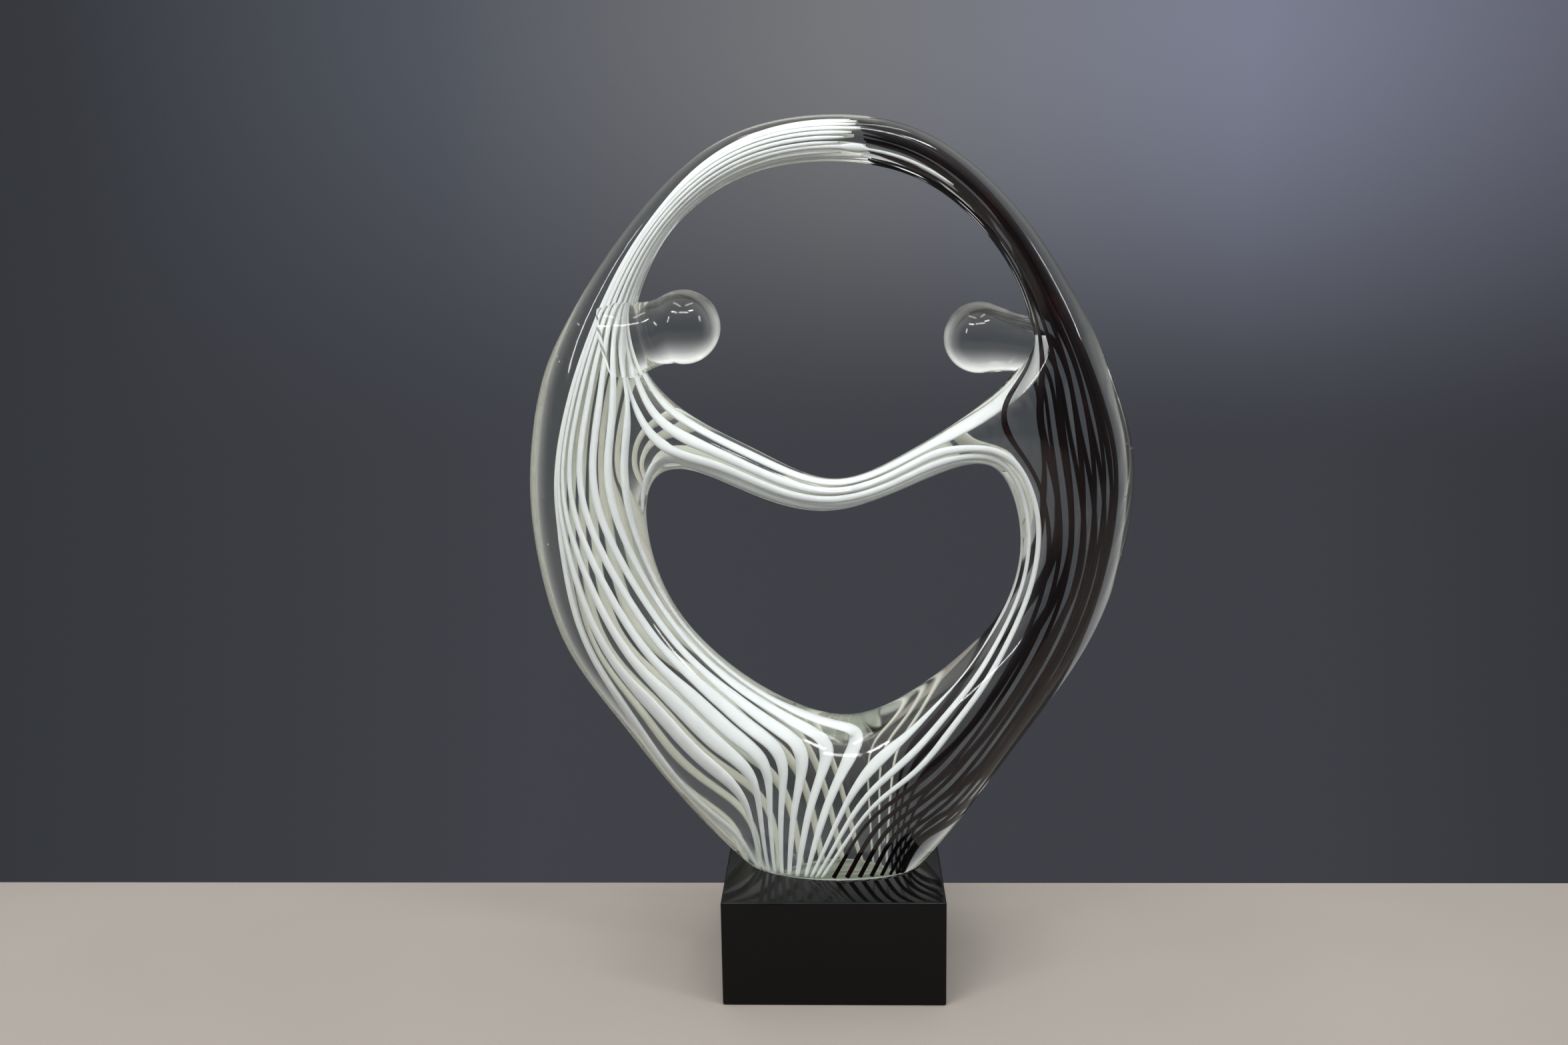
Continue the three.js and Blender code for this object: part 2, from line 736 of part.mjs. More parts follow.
function headGeometry(name) {
  const { ball, back, root, rootBack, leave } = heads[name];
  const radius = headRadius[name];
  const centre = placed(ball, back);
  const end = placed(root, rootBack);
  const length = centre.distanceTo(end);
  const away = THREE.MathUtils.degToRad(leave);
  const points = [];
  const arcSteps = 12;
  for (let i = 0; i <= arcSteps; i++) {
    const angle = (i / arcSteps) * (Math.PI - away);
    points.push(new THREE.Vector2(radius * Math.sin(angle), -radius * Math.cos(angle)));
  }
  points[0].x = 0;
  const off = points.at(-1);
  const rootLine = new THREE.CubicBezierCurve(
    off,
    new THREE.Vector2(off.x - leaveLength * Math.cos(away), off.y + leaveLength * Math.sin(away)),
    new THREE.Vector2(waistRadius[name], off.y + waistPlace),
    new THREE.Vector2(flareRadius[name], length - flareLength),
  );
  points.push(...rootLine.getPoints(6).slice(1));
  points.push(new THREE.Vector2(flareRadius[name], length), new THREE.Vector2(0, length));
  const geometry = new THREE.LatheGeometry(points, headFacets);
  const turn = new THREE.Quaternion().setFromUnitVectors(
    new THREE.Vector3(0, 1, 0),
    end.clone().sub(centre).normalize(),
  );
  return geometry.applyQuaternion(turn).translate(centre.x, centre.y, centre.z);
}

// The form, grown all round by a gap, cuts the roots of the heads to its own shape
function grown({ points, quads }, gap) {
  const geometry = geometryOf({ points, quads });
  geometry.computeVertexNormals();
  const { position, normal } = geometry.attributes;
  for (let i = 0; i < position.count; i++)
    position.setXYZ(
      i,
      position.getX(i) + gap * normal.getX(i),
      position.getY(i) + gap * normal.getY(i),
      position.getZ(i) + gap * normal.getZ(i),
    );
  return geometry;
}

const sculpture = new THREE.Group();

function add(name, geometry, material) {
  const mesh = new THREE.Mesh(geometry, material);
  mesh.name = name;
  sculpture.add(mesh);
}

const clearGlass = new THREE.MeshStandardMaterial({ color: 0xe9efe8, roughness: 0.03, metalness: 0 });
const blackGlass = new THREE.MeshStandardMaterial({ color: 0x060606, roughness: 0.12, metalness: 0 });
const whiteCane = new THREE.MeshStandardMaterial({ color: 0xf2f4f5, roughness: 0.4, metalness: 0 });
const darkCane = new THREE.MeshStandardMaterial({ color: 0x240808, roughness: 0.4, metalness: 0 });
const clearGlue = new THREE.MeshStandardMaterial({ color: 0xd9dcd2, roughness: 0.3, metalness: 0 });

let cage = formCage();
for (let i = 0; i < refinements; i++) cage = subdivide(cage);
const form = solidOf(geometryOf(cage));
const grownForm = solidOf(grown(cage, fusedGap));

// What is ground off under the foot
const below = glassHeight / 2;
const ground = solidOf(
  new THREE.BoxGeometry(2 * glassWidth, 2 * glassDepth, below).translate(0, 0, groundHeight - below / 2),
);

function largestPiece(solid) {
  return solid.decompose().reduce((most, piece) => (piece.volume() > most.volume() ? piece : most));
}

const channels = canes.map((cane) => solidOf(ribbon(cane, caneClearance)));
const body = form.subtract(ground).subtract(wasm.Manifold.union(channels));
add("glass_form", geometryFrom(body), clearGlass);
for (const cane of canes) {
  const material = cane.colour === "white" ? whiteCane : darkCane;
  let solid = solidOf(ribbon(cane)).subtract(ground);
  if (cane.beside) {
    const neighbour = canes.findIndex((other) => other.name === cane.beside);
    solid = largestPiece(solid.subtract(channels[neighbour]));
  }
  add(cane.name, geometryFrom(solid), material);
}
for (const name of Object.keys(heads))
  add(name, geometryFrom(largestPiece(solidOf(headGeometry(name)).subtract(grownForm))), clearGlass);

// Glue film: the slice of the form just under its ground foot, a little smaller all round
const film = solidOf(
  new THREE.BoxGeometry(2 * glassWidth, 2 * glassDepth, glueThickness).translate(
    0,
    0,
    blockHeight + glueThickness / 2,
  ),
);
add("glue_film", geometryFrom(solidOf(grown(cage, -glueInset)).intersect(film)), clearGlue);

// Block, with all its edges chamfered
const halfWidth = blockWidth / 2;
const halfDepth = blockDepth / 2;
const corner = (x, y) => new THREE.Vector2(x, y);
const inX = halfWidth - blockChamfer;
const inY = halfDepth - blockChamfer;
const blockOutline = new THREE.Shape([
  corner(inX, -inY + cornerChamfer),
  corner(inX, inY - cornerChamfer),
  corner(inX - cornerChamfer, inY),
  corner(-inX + cornerChamfer, inY),
  corner(-inX, inY - cornerChamfer),
  corner(-inX, -inY + cornerChamfer),
  corner(-inX + cornerChamfer, -inY),
  corner(inX - cornerChamfer, -inY),
]);
const block = new THREE.ExtrudeGeometry(blockOutline, {
  depth: blockHeight - 2 * blockChamfer,
  bevelSize: blockChamfer,
  bevelThickness: blockChamfer,
  bevelSegments: 1,
}).translate(0, 0, blockChamfer);
add("block", block, blackGlass);

export default sculpture;
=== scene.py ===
# A hot-worked glass sculpture on a polished black block, dressed for rendering: one fire-polished clear body with
# its two heads fused on, opaque white and dark amethyst canes inside it, a few seed bubbles, and the bonded block.
# Sizes are in millimetres in the tables and in metres in the scene.
import math
import random

import bmesh
import bpy
import numpy as np
from mathutils import Matrix, Vector


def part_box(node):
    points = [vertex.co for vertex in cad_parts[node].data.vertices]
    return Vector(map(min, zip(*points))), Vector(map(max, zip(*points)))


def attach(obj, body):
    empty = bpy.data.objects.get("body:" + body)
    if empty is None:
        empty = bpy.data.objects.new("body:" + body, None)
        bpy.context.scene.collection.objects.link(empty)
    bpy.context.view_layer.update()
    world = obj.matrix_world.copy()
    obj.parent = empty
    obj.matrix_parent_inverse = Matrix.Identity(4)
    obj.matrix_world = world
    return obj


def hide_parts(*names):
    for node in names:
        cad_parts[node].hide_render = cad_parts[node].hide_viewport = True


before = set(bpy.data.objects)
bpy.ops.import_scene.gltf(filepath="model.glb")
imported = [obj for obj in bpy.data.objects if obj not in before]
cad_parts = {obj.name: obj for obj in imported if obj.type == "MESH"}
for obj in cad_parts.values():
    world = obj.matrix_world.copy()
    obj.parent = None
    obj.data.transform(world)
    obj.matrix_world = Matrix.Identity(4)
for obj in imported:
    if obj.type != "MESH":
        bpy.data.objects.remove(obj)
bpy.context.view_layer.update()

MM = 0.001

# Block and the ground foot of the glass
BLOCK_LOW, BLOCK_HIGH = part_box("block")
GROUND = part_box("glass_form")[0][2] / MM

# Sections of the ring, from the foot up the right limb, over the arch and down the left limb: point on the outer
# edge, point on the inner edge, each across and above the ground foot, depth, clear glass outside the canes
RING = [
    ((0, -23.5), (6, 69.5), 62, 24),
    ((50.5, 9.5), (35, 79.5), 57, 13),
    ((84.5, 56), (62, 100.5), 50, 9),
    ((114, 99.5), (80, 123.5), 46, 10),
    ((131, 142.5), (86, 152.5), 43, 11),
    ((136, 184.5), (82, 182.5), 41, 11.5),
    ((129.5, 214.5), (84, 210.5), 39, 12),
    ((118, 243.5), (90, 237.5), 34, 10.5),
    ((102, 272.5), (84, 265.5), 26, 8),
    ((80, 302.5), (67, 291.5), 20, 6),
    ((46, 330.5), (40, 312.5), 18.5, 5),
    ((6, 340.5), (5, 320.5), 18, 4.4),
    ((-37, 334.5), (-31, 316.5), 17.5, 5),
    ((-71, 312.5), (-59, 301.5), 17.5, 6),
    ((-98, 281.5), (-78, 277.5), 20.5, 8.8),
    ((-118, 250.5), (-89, 243.5), 27, 13),
    ((-130, 222.5), (-86, 216.5), 36, 16),
    ((-136, 184.5), (-84, 184.5), 41, 15.2),
    ((-134, 146.5), (-83, 154.5), 43, 15),
    ((-122.5, 104.5), (-72, 122.5), 46, 13),
    ((-97, 66), (-50, 96.5), 51, 11),
    ((-60, 18.5), (-24, 78.5), 58, 12),
]
RING_SIDES = 6

# Sections of the bridge, from left to right: point on the upper edge, point on the lower edge, depth
BRIDGE = [
    ((-67, 210.5), (-66, 189.5), 26),
    ((-33, 195.5), (-41, 176.5), 22),
    ((1, 175), (-2, 161), 19),
    ((33, 191.5), (40, 179.5), 20),
    ((67, 211.5), (66, 190.5), 26),
]
BRIDGE_SIDES = 8

# Ring sections above, at and below each place where the bridge grows out of a limb
LEFT_JOIN = (15, 16, 17)
RIGHT_JOIN = (7, 6, 5)

REFINEMENTS = 4
SPLINE_PASSES = 24

# Vertices closer than these count as one, in metres
CUT_REACH, WELD = 1e-7, 1e-6

# Corners sharper than these many degrees stay sharp
GLASS_CORNER, BLOCK_CORNER = 40, 35


def controls_through(values):
    """The control values of a closed cubic B-spline that passes through the values."""
    values = np.array(values, float)
    controls = values.copy()
    for _ in range(SPLINE_PASSES):
        around = np.roll(controls, 1, 0) + 4 * controls + np.roll(controls, -1, 0)
        controls += values - around / 6
    return controls


def limit_factor(sides):
    """How much a regular polygon of controls is larger than the round B-spline inside it."""
    return 6 / (4 + 2 * math.cos(2 * math.pi / sides))


outer = np.array([s[0] for s in RING], float) + (0, GROUND)
inner = np.array([s[1] for s in RING], float) + (0, GROUND)
ring_middle = controls_through((outer + inner) / 2)
ring_across = controls_through((outer - inner) / 2)
ring_depth = controls_through([s[2] / 2 for s in RING])
ring_clear = controls_through([s[3] for s in RING])


def spline_weights(t):
    """The weights of the four controls round a place on a cubic B-spline."""
    return (
        (1 - t) ** 3 / 6,
        (3 * t**3 - 6 * t**2 + 4) / 6,
        (-3 * t**3 + 3 * t**2 + 3 * t + 1) / 6,
        t**3 / 6,
    )


def flat(pair):
    """A point or direction given as x and z, in the plane of the ring."""
    return Vector((pair[0], 0, pair[1]))


def standing(pair, back=0):
    """A point given across and above the ground foot, and to the back."""
    return Vector((pair[0], back, GROUND + pair[1]))


# ---------------------------------------------------------------- modelling helpers


def new_object(name, bm, smooth=True):
    mesh = bpy.data.meshes.new(name)
    bm.to_mesh(mesh)
    bm.free()
    mesh.shade_smooth() if smooth else mesh.shade_flat()
    obj = bpy.data.objects.new(name, mesh)
    bpy.context.scene.collection.objects.link(obj)
    return obj


def oval(bm, middle, along_first, along_second, sides):
    """A loop of vertices round the middle, starting at along_first and turning towards along_second."""
    third = along_first.cross(along_second).normalized()
    matrix = Matrix((-along_second, along_first, third)).transposed().to_4x4()
    matrix.translation = middle
    made = bmesh.ops.create_circle(bm, cap_ends=False, radius=1, segments=sides, matrix=matrix)
    return made["verts"]


def edges_of(verts):
    """The edges that run between the given vertices."""
    inside = set(verts)
    return [e for e in {e for v in verts for e in v.link_edges} if all(v in inside for v in e.verts)]


def bridge(bm, first, second):
    bmesh.ops.bridge_loops(bm, edges=edges_of(first) + edges_of(second))


def glass_cage():
    """The coarse cage of the glass form: a ring of six-sided loops, and a bridge of eight-sided loops."""
    bm = bmesh.new()
    depth_way = Vector((0, 1, 0))
    factor = limit_factor(RING_SIDES) * MM
    loops = [
        oval(bm, flat(m) * MM, flat(a) * factor, depth_way * d * factor, RING_SIDES)
        for m, a, d in zip(ring_middle, ring_across, ring_depth)
    ]
    for i, loop in enumerate(loops):
        bridge(bm, loops[i - 1], loop)
    half = RING_SIDES // 2
    mouths = []
    for join in (LEFT_JOIN, RIGHT_JOIN):
        patch = {loops[i][k] for i in join for k in (half - 1, half, half + 1)}
        mouths.append([v for v in patch if v is not loops[join[1]][half]])
        faces = [f for f in bm.faces if all(v in patch for v in f.verts)]
        bmesh.ops.delete(bm, geom=faces, context="FACES")
    factor = limit_factor(BRIDGE_SIDES) / 2 * MM
    row = []
    for upper, lower, depth in BRIDGE:
        upper, lower = standing(upper), standing(lower)
        middle = (upper + lower) / 2 * MM
        row.append(oval(bm, middle, (upper - lower) * factor, depth_way * depth * factor, BRIDGE_SIDES))
    row = [mouths[0], *row, mouths[1]]
    for first, second in zip(row, row[1:]):
        bridge(bm, first, second)
    bmesh.ops.recalc_face_normals(bm, faces=bm.faces)
    return bm


def evaluated(obj):
    """A bmesh of the object with its modifiers; the object is deleted."""
    bpy.context.view_layer.update()
    bm = bmesh.new()
    bm.from_mesh(obj.evaluated_get(bpy.context.evaluated_depsgraph_get()).data)
    mesh = obj.data
    bpy.data.objects.remove(obj)
    bpy.data.meshes.remove(mesh)
    return bm


def glass_body():
    """The smooth body, ground flat at its foot."""
    cage = new_object("cage", glass_cage())
    smooth = cage.modifiers.new("refine", "SUBSURF")
    smooth.levels = smooth.render_levels = REFINEMENTS
    bm = evaluated(cage)
    cut = bmesh.ops.bisect_plane(
        bm,
        geom=bm.verts[:] + bm.edges[:] + bm.faces[:],
        dist=CUT_REACH,
        plane_co=(0, 0, GROUND * MM),
        plane_no=(0, 0, -1),
        clear_outer=True,
    )
    rim = [g for g in cut["geom_cut"] if isinstance(g, bmesh.types.BMEdge)]
    bmesh.ops.contextual_create(bm, geom=rim)
    bmesh.ops.recalc_face_normals(bm, faces=bm.faces)
    return bm


# Heads: ball middle and its place to the back, the same of the root's end, ball radius, the angle at which the
# root leaves the ball, waist radius and flare radius
HEADS = {
    "left_head": ((-63.8, 250.5), -7, (-97, 243.5), -4, 16.4, 70, 13.6, 18),
    "right_head": ((67, 243.5), 5, (104, 237.5), 3, 15.9, 80, 12.6, 11),
}
HEAD_SEGMENTS, BALL_STEPS, ROOT_STEPS = 64, 24, 12
# How far the ball's curve runs on into the root, and how far along the waist and the flare are
ROOT_PULL, WAIST_ALONG, FLARE_BEFORE_END = 5, 11, 8


def head(ball, ball_back, root, root_back, radius, leave, waist, flare):
    """A ball drawn out into a root, spun about the line from the ball's middle to the root's end."""
    middle, end = standing(ball, ball_back), standing(root, root_back)
    length = (end - middle).length
    leave = math.radians(leave)
    profile = []
    for i in range(BALL_STEPS + 1):
        angle = i / BALL_STEPS * (math.pi - leave)
        profile.append((radius * math.sin(angle), -radius * math.cos(angle)))
    a = profile[-1]
    b = (a[0] - ROOT_PULL * math.cos(leave), a[1] + ROOT_PULL * math.sin(leave))
    c = (waist, a[1] + WAIST_ALONG)
    d = (flare, length - FLARE_BEFORE_END)
    for i in range(1, ROOT_STEPS + 1):
        t = i / ROOT_STEPS
        u = 1 - t
        weights = u**3, 3 * u * u * t, 3 * u * t * t, t**3
        profile.append(tuple(sum(w * p[k] for w, p in zip(weights, (a, b, c, d))) for k in (0, 1)))
    profile += [(flare, length), (0, length)]
    bm = bmesh.new()
    verts = [bm.verts.new((r * MM, 0, h * MM)) for r, h in profile]
    edges = [bm.edges.new(pair) for pair in zip(verts, verts[1:])]
    bmesh.ops.spin(
        bm,
        geom=verts + edges,
        axis=(0, 0, 1),
        cent=(0, 0, 0),
        angle=2 * math.pi,
        steps=HEAD_SEGMENTS,
        use_merge=True,
    )
    bmesh.ops.remove_doubles(bm, verts=bm.verts, dist=WELD)
    bmesh.ops.recalc_face_normals(bm, faces=bm.faces)
    turn = Vector((0, 0, 1)).rotation_difference(end - middle).to_matrix().to_4x4()
    bmesh.ops.transform(bm, matrix=Matrix.Translation(middle * MM) @ turn, verts=bm.verts)
    return bm


def fused(body, others):
    """The body with the other solids joined to it."""
    obj = new_object("clear_glass_body", body)
    for i, other in enumerate(others):
        part = new_object(f"root_{i}", other)
        join = obj.modifiers.new(f"join_{i}", "BOOLEAN")
        join.operation = "UNION"
        join.solver = "EXACT"
        join.object = part
    bpy.context.view_layer.update()
    joined = bpy.data.meshes.new_from_object(obj.evaluated_get(bpy.context.evaluated_depsgraph_get()))
    for join in list(obj.modifiers):
        bpy.data.objects.remove(join.object)
        obj.modifiers.remove(join)
    obj.data = joined
    joined.name = "clear_glass_body"
    joined.shade_smooth()
    joined.set_sharp_from_angle(angle=math.radians(GLASS_CORNER))
    return obj


# ---------------------------------------------------------------- canes

# A place along the ring is given as the number of a section, with the parts between two sections as decimals. An
# angle round a section is 0 at the outer edge, 90 at the front or back and 180 at the inner edge; it counts below 0
# at the front, where side is -1, and above 0 at the back, where side is 1.

PER_FACE = 8
FACES = ((-1, "front"), (1, "back"))

# Clear glass over the canes at the inner edge, and the canes' layers as shares of the depth
INNER_COVER = 2.7
FRONT_LAYER, BACK_LAYER = 0.75, 0.62
BRIDGE_LAYER_HIGH, BRIDGE_LAYER_DEEP = 0.66, 0.38
INTO_LIMB = 0.32

# The neck through which all canes rise from the ground foot: middle, half width and half depth, with its flare
NECK_X, NECK_WIDTH, NECK_DEPTH, NECK_FLARE, NECK_HEIGHT = -3, 30, 20, 0.4, 60
NECK_TOP = 16
FOOT_LIFT = 0.5

# Angles round the neck of the first and the last cane, for the front and the back
WHITE_NECK = {-1: (161, 108), 1: (172, 60)}
DARK_NECK = {-1: (4, 84), 1: (2, 34)}

# Places along the ring: the slanting seam between white and dark, and the end of the white cane that runs past it
SEAM, SEAM_GAP, SEAM_LEAN = 10.73, 0.02, 0.1
STREAK, STREAK_END = 6, 9.6
STOPS_SHORT, RAGGED = 0.3, 0.06

# Where the last dark cane dips inwards, beside the right junction, and over how much of the ring
DIP_PLACE, DIP_SPREAD, DIP = 6, 0.6, 17
LAST_WHITE_INWARD = 4
STEPS_PER_SECTION = 3


def smoothstep(x, low, high):
    t = min(max((x - low) / (high - low), 0), 1)
    return t * t * (3 - 2 * t)


def spread(ends, s):
    return ends[0] + (ends[1] - ends[0]) * s


def through(stops, x):
    """A smooth change from stop to stop, each given as a place and a value."""
    value = stops[0][1]
    for (low, before), (high, after) in zip(stops, stops[1:]):
        value += (after - before) * smoothstep(x, low, high)
    return value


def blend(controls, place):
    """The value of the closed B-spline at a place."""
    base = math.floor(place)
    weights = spline_weights(place - base)
    return sum(w * controls[(base - 1 + i) % len(controls)] for i, w in enumerate(weights))


def oval_point(place, degrees, inward=0):
    """A point on the canes' layer in one section of the ring, and the middle of that layer."""
    outward = flat(blend(ring_across, place))
    half = outward.length
    outward.normalize()
    clear = blend(ring_clear, place)
    middle = flat(blend(ring_middle, place)) + outward * (INNER_COVER - clear) / 2
    across = half - (clear + INNER_COVER) / 2
    deep = (FRONT_LAYER if degrees < 0 else BACK_LAYER) * blend(ring_depth, place)
    even = math.radians(degrees)
    angle = even - (deep - across) / (deep + across) * math.sin(2 * even) / 2
    point = middle + outward * (across * math.cos(angle) - inward)
    return point + Vector((0, deep * math.sin(angle), 0)), middle


def neck_point(degrees, z):
    """A point on the neck at a height, and the neck's middle there."""
    angle = math.radians(degrees)
    wider = 1 + NECK_FLARE * (z - GROUND) / NECK_HEIGHT
    x = NECK_X + NECK_WIDTH * wider * math.cos(angle)
    return Vector((x, NECK_DEPTH * wider * math.sin(angle), z)), Vector((NECK_X, 0, z))


def between(first, second, share):
    """A point part of the way from one to the other, and the same of their middles."""
    return first[0].lerp(second[0], share), first[1].lerp(second[1], share)


def inside(place, degrees):
    """A point deeper in the limb, for a cane whose broad side faces the front."""
    point, _ = between(oval_point(place, degrees), oval_point(place, -degrees), INTO_LIMB)
    return point, Vector((point.x, 0, point.z))


def limb_route(start, end, neck, first, stops, side, dip=0, lean=0.4):
    """A cane's route up a limb from the ground foot: points, each with the middle of the layer there."""
    way = math.copysign(1, end - start)
    length = abs(end - start)
    steps = round((length - first) * STEPS_PER_SECTION)
    route = []
    for i in range(steps + 1):
        along = first + (length - first) * i / steps
        inward = dip * math.exp(-(((along - DIP_PLACE) / DIP_SPREAD) ** 2))
        route.append(oval_point(start + way * along, side * through(stops, along), inward))
    foot = neck_point(side * neck, GROUND + FOOT_LIFT)
    rise = between(neck_point(side * neck, GROUND + NECK_TOP), route[0], lean)
    return [foot, rise, *route]


def bridge_point(place, degrees):
    """A point on the canes' layer in the bridge, with 0 degrees at its crest, and the bridge's middle there."""
    base = math.floor(place)
    weights = spline_weights(place - base)
    rows = [BRIDGE[min(max(base - 1 + i, 0), len(BRIDGE) - 1)] for i in range(4)]
    upper = sum((w * standing(r[0]) for w, r in zip(weights, rows)), Vector())
    lower = sum((w * standing(r[1]) for w, r in zip(weights, rows)), Vector())
    depth = sum(w * r[2] for w, r in zip(weights, rows))
    angle = math.radians(degrees)
    middle = (upper + lower) / 2
    point = middle + (upper - lower) / 2 * BRIDGE_LAYER_HIGH * math.cos(angle)
    return point + Vector((0, BRIDGE_LAYER_DEEP * depth * math.sin(angle), 0)), middle


def seam_at(degrees):
    """The seam's place along the ring at an angle."""
    return SEAM + SEAM_LEAN * math.cos(math.radians(degrees))


def white_end(degrees, side):
    """Where a white cane ends in the arch; at the front the lower ones stop a little short, at the back unevenly."""
    short = STOPS_SHORT * smoothstep(degrees, 40, 110) if side < 0 else RAGGED * math.sin(degrees / 9)
    return seam_at(degrees) + SEAM_GAP + short


def white_stops(side, s, first):
    """A white cane's angle at places up the left limb, for s from 0 at the outer edge to 1 at the inner edge."""
    if side < 0:
        return [
            (first, 12 + 148 * s**0.5),
            (first + 0.8, 14 + 158 * s**0.6),
            (2.8, 12 + 161 * s**0.75),
            (5.2, 9 + 122 * s**1.5),
            (7.4, 8 + 129 * s),
            (11.3, 8 + 129 * s - 5 * math.exp(-(((s - 0.857) / 0.06) ** 2))),
        ]
    return [
        (first, 12 + 114 * s**1.15),
        (first + 0.8, 12 + 120 * s**1.3),
        (2.8, 10 + 112 * s**1.6),
        (5.4, 9 + 96 * s**0.8),
        (7.4, 9 + 146 * s),
    ]


def dark_stops(side, s):
    """A dark cane's angle at places up the right limb; at the front the canes part in the arch."""
    if side < 0:
        last = 10 + 156 * s
        parting = 8 * math.tanh(20 * (s - 0.65))
        return [
            (0.8, 9 + 76 * s),
            (3.6, 9 + 104 * s),
            (6, 9 + 128 * s**1.3),
            (8, last),
            (10, last + parting),
        ]
    return [(0.8, 9 + 76 * s), (3.6, 9 + 84 * s**1.3), (6, 9 + 110 * s**0.85), (8, 10 + 156 * s)]


# A place along the bridge runs from 0 at the left end to 4 at the right.
BRIDGE_PLACES = (3.5, 3, 2.5, 2, 1.5, 1, 0.5)

# Bridge canes in order: the crest cane first, the other three from high to low. Where each ends on the left limb:
# at the front an angle and a corner (place, share of the way to the bridge, place where the limb's run starts), at
# the back the angles at the start and end of a run down the limb, and for the lowest the inner rim.
LEFT_FRONT = (
    (185, (15.8, 0.4, 14.9)),
    (166, (16.05, 0.36, 15.1)),
    (151, (16.45, 0.4, 15.6)),
)
CREST_END, LEFT_RUN_STEPS = 14.4, 12
LEFT_BACK = ((150, 129), (155, 138), (161, 149), (171, 161))
BACK_CORNER, BACK_CORNER_STEP = 16.1, 0.22
BACK_RUN_AFTER, BACK_RUN_STEP, BACK_RUN_STEPS = 0.5, 0.45, 4
RIM_ANGLE, RIM_CORNER, RIM_PLACES = 172, 16.5, (17, 17.3, 17.6)

# How the lower three start on the right: neck angle, then the angles low and in the middle of the limb and the
# angle across the bridge; and the crest cane's start on the arch, its angle at the edge and its angle on the crest
RIGHT_FRONT = ((94, 104, 134, 70), (98.5, 120, 154, 112), (103.2, 138, 184, 156))
RIGHT_BACK = ((39, 100, 110, 70), (45, 107, 117, 112), (51, 114, 124, 152))
CREST_FRONT, CREST_BACK = (116, 134, 22), (140, 150, 34)
CREST_LEFT_ANGLE = 22


def left_end(side, order, across):
    """How a bridge cane ends on the left: at the front up the arch, at the back and at the rim down the limb."""
    start = bridge_point(0, side * across)
    if side < 0 and order < len(LEFT_FRONT):
        high, (corner, share, leave) = LEFT_FRONT[order]
        end = CREST_END if order == 0 else seam_at(high) + SEAM_GAP
        step = (end - leave) / LEFT_RUN_STEPS
        run = [oval_point(leave + step * k, side * high) for k in range(LEFT_RUN_STEPS + 1)]
        return [between(oval_point(corner, side * high), start, share), *run]
    if side < 0:
        rim = [oval_point(place, side * RIM_ANGLE) for place in RIM_PLACES]
        return [between(oval_point(RIM_CORNER, side * RIM_ANGLE), start, 0.5), *rim]
    high, low = LEFT_BACK[order]
    corner = BACK_CORNER + BACK_CORNER_STEP * order
    route = [between(oval_point(corner, high), start, 0.45)]
    for k in range(BACK_RUN_STEPS + 1):
        place = corner + BACK_RUN_AFTER + BACK_RUN_STEP * k
        route.append(oval_point(place, spread((high, low), min((k + 1) / BACK_RUN_STEPS, 1))))
    return route


def limb_canes(side, face):
    """The routes of the white canes up the left limb and the dark ones up the right limb."""
    front = side < 0
    for i in range(PER_FACE):
        s = i / (PER_FACE - 1)
        neck = spread(WHITE_NECK[side], s)
        first = 0.95 - (1.25 * s**3 if front else 0.45 * s**1.5)
        stops = white_stops(side, s, first)
        end = STREAK_END if front and i == STREAK else white_end(stops[-1][1], side)
        route = limb_route(len(RING), end, neck, first, stops, side, LAST_WHITE_INWARD * s**4)
        yield f"white_{face}_cane_{i + 1}", route
        neck = spread(DARK_NECK[side], s)
        stops = dark_stops(side, s)
        end = seam_at(stops[-1][1]) - SEAM_GAP
        route = limb_route(0, end, neck, 1 - 0.15 * s, stops, side, (DIP if front else 0) * s**8)
        yield f"dark_{face}_cane_{i + 1}", route


def bridge_canes(side, face):
    """The routes of the canes that run from the right through the bridge and end on the left."""
    front = side < 0
    for i, (neck, low, middle, across) in enumerate(RIGHT_FRONT if front else RIGHT_BACK):
        first = 0.85 - 0.15 * i if front else 0.75 - 0.2 * i
        stops = [(first, low - 8), (1.6, low + 6), (3.2, middle)]
        route = limb_route(0, 4.5, neck, first, stops, side, lean=0.52)
        route.append(between(oval_point(5.25, side * middle), bridge_point(4, side * across), 0.38))
        route += [bridge_point(place, side * across) for place in BRIDGE_PLACES]
        yield f"bridge_{face}_cane_{i + 1}", route + left_end(side, i + 1, across)
    begin, edge, crest = CREST_FRONT if front else CREST_BACK
    route = [inside(7.2, side * begin), inside(6.95, side * (begin + 6)), inside(6.68, side * edge)]
    route.append(between(oval_point(6.25, side * 170), bridge_point(4, side * crest), 0.42))
    route += [bridge_point(place, side * crest) for place in BRIDGE_PLACES]
    yield f"bridge_{face}_cane_4", route + left_end(side, 0, CREST_LEFT_ANGLE)


def curve_point(points, t):
    """A point of the Catmull-Rom curve through the points, for t from 0 to 1."""
    place = t * (len(points) - 1)
    base = min(int(place), len(points) - 2)
    t = place - base
    ends = [points[min(max(base + i, 0), len(points) - 1)] for i in (-1, 0, 1, 2)]
    if base == 0:
        ends[0] = 2 * points[0] - points[1]
    if base == len(points) - 2:
        ends[3] = 2 * points[-1] - points[-2]
    a, b, c, d = ends
    return 0.5 * (2 * b + (c - a) * t + (2 * a - 5 * b + 4 * c - d) * t**2 + (3 * b - a - 3 * c + d) * t**3)


SPACING, FINE_STEPS, FEWEST_STEPS, SMOOTHING = 2.5, 16, 8, 24


